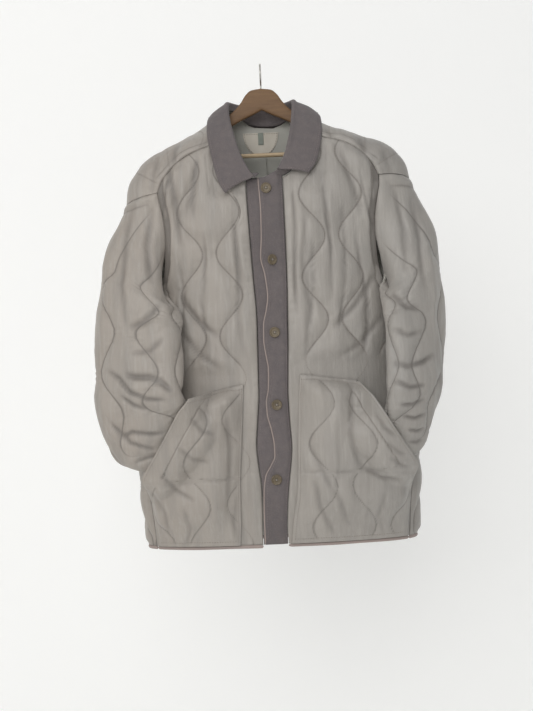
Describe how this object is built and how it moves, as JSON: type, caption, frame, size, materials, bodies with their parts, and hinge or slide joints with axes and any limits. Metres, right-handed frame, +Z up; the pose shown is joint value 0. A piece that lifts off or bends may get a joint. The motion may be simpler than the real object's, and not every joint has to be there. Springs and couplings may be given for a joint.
{
  "type": "quilted jacket on a wooden hanger",
  "caption": "Pale grey-taupe wave-quilted nylon jacket with a mauve wool shirt collar and front band, horn buttons, and cuffs tucked into slanted patch pockets, on a wooden hanger.",
  "frame": {"origin": "inside top of the hanger's hook, where a rail would bear", "axes": "+Z up, +X to the viewer's right, the jacket's front towards -Y"},
  "size_m": [0.6472, 0.2138, 0.8851],
  "materials": {
    "nylon": "satin",
    "wool": "matte",
    "binding": "matte",
    "horn": "satin",
    "patch": "matte",
    "tab": "matte",
    "wood": "satin",
    "dowel": "satin",
    "wire": "satin"
  },
  "bodies": {
    "root": {"back": "nylon", "front_left": "nylon", "front_right": "nylon", "sleeve_left": "nylon", "sleeve_right": "nylon", "pocket_left": "nylon", "pocket_right": "nylon", "binding_left": "binding", "binding_right": "binding", "binding_back": "binding", "placket_under": "wool", "placket_over": "wool", "collar": "wool", "button_1": "horn", "button_2": "horn", "button_3": "horn", "button_4": "horn", "button_5": "horn", "neck_patch": "patch", "neck_loop": "tab", "hanger": "wood", "hanger_bar": "dowel", "hanger_hook": "wire"}
  },
  "joints": []
}
